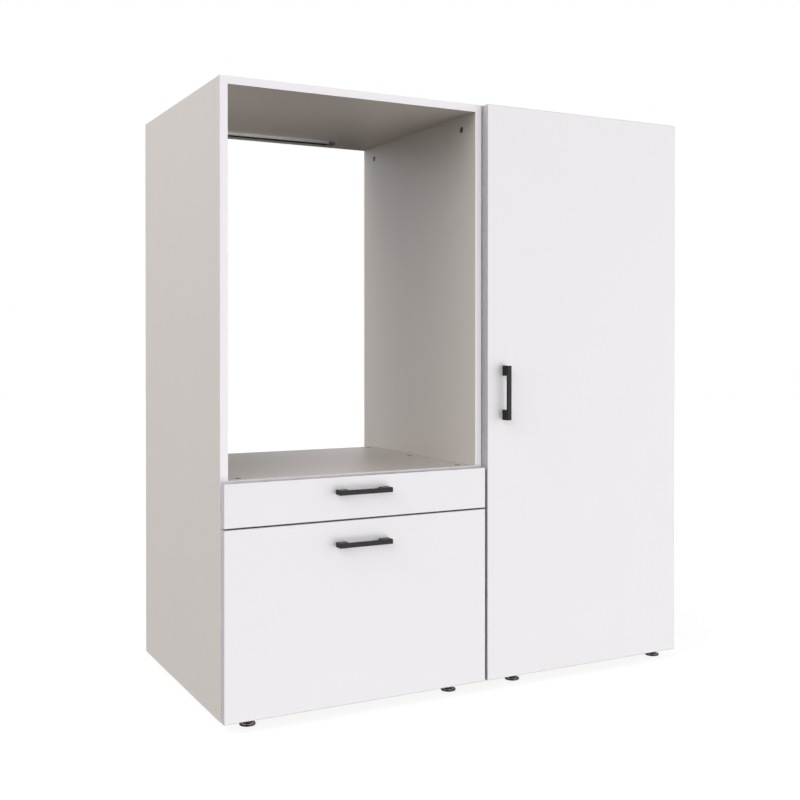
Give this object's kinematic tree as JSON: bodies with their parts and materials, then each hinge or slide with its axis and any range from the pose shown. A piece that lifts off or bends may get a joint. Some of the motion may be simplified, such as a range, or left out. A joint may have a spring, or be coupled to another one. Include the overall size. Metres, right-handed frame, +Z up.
{
  "type": "washing machine cabinet",
  "caption": "White utility cabinet: an open washing-machine niche on a raised shelf with drawers below, beside a tall cupboard with a full-height hinged door, on levelling feet.",
  "frame": {"origin": "middle of the overall width and depth, on the floor under the feet", "axes": "X along the width with the tall unit at +X, Y from the fronts at -Y to the backs at +Y, Z up"},
  "size_m": [1.2826, 0.6776, 1.45],
  "materials": {
    "board_white": "white melamine-faced chipboard, satin",
    "front_white": "white fronts with matching edge band, satin",
    "thin_board": "white-faced hardboard",
    "drawer_board": "white foil-wrapped board",
    "handle_black": "near-black powder coat on die-cast zinc",
    "zinc_alloy": "die-cast zinc alloy, dull",
    "zinc_steel": "zinc-plated steel",
    "rail_aluminium": "anodised aluminium channel, satin",
    "cap_plastic": "dark grey moulded plastic",
    "foot_plastic": "dark grey moulded plastic",
    "grey_plastic": "dark moulded plastic",
    "bumper_rubber": "soft clear bumper"
  },
  "bodies": {
    "cabinet": {"cam_bolts": "zinc_steel", "cam_housings": "zinc_alloy", "foot_sleeves": "grey_plastic", "hinge_arms": "zinc_steel", "hinge_plates": "zinc_steel", "joining_bolts": "zinc_steel", "left_unit_back": "thin_board", "left_unit_bottom": "board_white", "left_unit_side_left": "board_white", "left_unit_side_right": "board_white", "left_unit_top": "board_white", "machine_shelf": "board_white", "panel_screws": "zinc_steel", "rail_end_caps": "cap_plastic", "runner_cabinet_members": "zinc_steel", "shelf_pins": "zinc_steel", "shelf_stretcher": "board_white", "stiffening_rail": "rail_aluminium", "tall_unit_back": "thin_board", "tall_unit_bottom": "board_white", "tall_unit_fixed_shelf": "board_white", "tall_unit_loose_shelf_lower": "board_white", "tall_unit_loose_shelf_upper": "board_white", "tall_unit_side_left": "board_white", "tall_unit_side_right": "board_white", "tall_unit_top": "board_white", "unit_spacers": "grey_plastic"},
    "drawer_1": {"drawer_1_floor": "thin_board", "drawer_1_front": "front_white", "drawer_1_handle": "handle_black", "drawer_1_handle_screws": "zinc_steel", "drawer_1_inner_front": "drawer_board", "drawer_1_rear_wall": "drawer_board", "drawer_1_runner_drawer_members": "zinc_steel", "drawer_1_side_left": "drawer_board", "drawer_1_side_right": "drawer_board"},
    "drawer_1_runners": {"drawer_1_runner_middle_members": "zinc_steel"},
    "drawer_2": {"drawer_2_floor": "thin_board", "drawer_2_front": "front_white", "drawer_2_handle": "handle_black", "drawer_2_handle_screws": "zinc_steel", "drawer_2_inner_front": "drawer_board", "drawer_2_rear_wall": "drawer_board", "drawer_2_runner_drawer_members": "zinc_steel", "drawer_2_side_left": "drawer_board", "drawer_2_side_right": "drawer_board"},
    "drawer_2_runners": {"drawer_2_runner_middle_members": "zinc_steel"},
    "door": {"door": "front_white", "door_bumpers": "bumper_rubber", "door_handle": "handle_black", "door_handle_screws": "zinc_steel", "hinge_cups": "zinc_steel"},
    "left_unit_foot_front_left": {"left_unit_foot_front_left": "foot_plastic"},
    "left_unit_foot_front_right": {"left_unit_foot_front_right": "foot_plastic"},
    "left_unit_foot_rear_left": {"left_unit_foot_rear_left": "foot_plastic"},
    "left_unit_foot_rear_right": {"left_unit_foot_rear_right": "foot_plastic"},
    "tall_unit_foot_front_left": {"tall_unit_foot_front_left": "foot_plastic"},
    "tall_unit_foot_front_right": {"tall_unit_foot_front_right": "foot_plastic"},
    "tall_unit_foot_rear_left": {"tall_unit_foot_rear_left": "foot_plastic"},
    "tall_unit_foot_rear_right": {"tall_unit_foot_rear_right": "foot_plastic"}
  },
  "joints": [
    {"name": "drawer_1_slide", "type": "slide", "parent": "cabinet", "child": "drawer_1", "axis": [0, -1, 0], "range_m": [0, 0.48]},
    {"name": "drawer_1_runner_slide", "type": "slide", "parent": "cabinet", "child": "drawer_1_runners", "axis": [0, -1, 0], "range_m": [0, 0.24]},
    {"name": "drawer_2_slide", "type": "slide", "parent": "cabinet", "child": "drawer_2", "axis": [0, -1, 0], "range_m": [0, 0.48]},
    {"name": "drawer_2_runner_slide", "type": "slide", "parent": "cabinet", "child": "drawer_2_runners", "axis": [0, -1, 0], "range_m": [0, 0.24]},
    {"name": "door_hinge", "type": "hinge", "parent": "cabinet", "child": "door", "pos_m": [0.6326, -0.30625, 0.7], "axis": [0, 0, 1], "range_deg": [0, 95]},
    {"name": "left_unit_foot_front_left_height", "type": "slide", "parent": "cabinet", "child": "left_unit_foot_front_left", "axis": [0, 0, -1], "range_m": [0, 0.012]},
    {"name": "left_unit_foot_front_right_height", "type": "slide", "parent": "cabinet", "child": "left_unit_foot_front_right", "axis": [0, 0, -1], "range_m": [0, 0.012]},
    {"name": "left_unit_foot_rear_left_height", "type": "slide", "parent": "cabinet", "child": "left_unit_foot_rear_left", "axis": [0, 0, -1], "range_m": [0, 0.012]},
    {"name": "left_unit_foot_rear_right_height", "type": "slide", "parent": "cabinet", "child": "left_unit_foot_rear_right", "axis": [0, 0, -1], "range_m": [0, 0.012]},
    {"name": "tall_unit_foot_front_left_height", "type": "slide", "parent": "cabinet", "child": "tall_unit_foot_front_left", "axis": [0, 0, -1], "range_m": [0, 0.012]},
    {"name": "tall_unit_foot_front_right_height", "type": "slide", "parent": "cabinet", "child": "tall_unit_foot_front_right", "axis": [0, 0, -1], "range_m": [0, 0.012]},
    {"name": "tall_unit_foot_rear_left_height", "type": "slide", "parent": "cabinet", "child": "tall_unit_foot_rear_left", "axis": [0, 0, -1], "range_m": [0, 0.012]},
    {"name": "tall_unit_foot_rear_right_height", "type": "slide", "parent": "cabinet", "child": "tall_unit_foot_rear_right", "axis": [0, 0, -1], "range_m": [0, 0.012]}
  ],
  "couplings": [
    {"joint": "drawer_1_runner_slide", "follows": "drawer_1_slide", "ratio": 0.5},
    {"joint": "drawer_2_runner_slide", "follows": "drawer_2_slide", "ratio": 0.5}
  ]
}
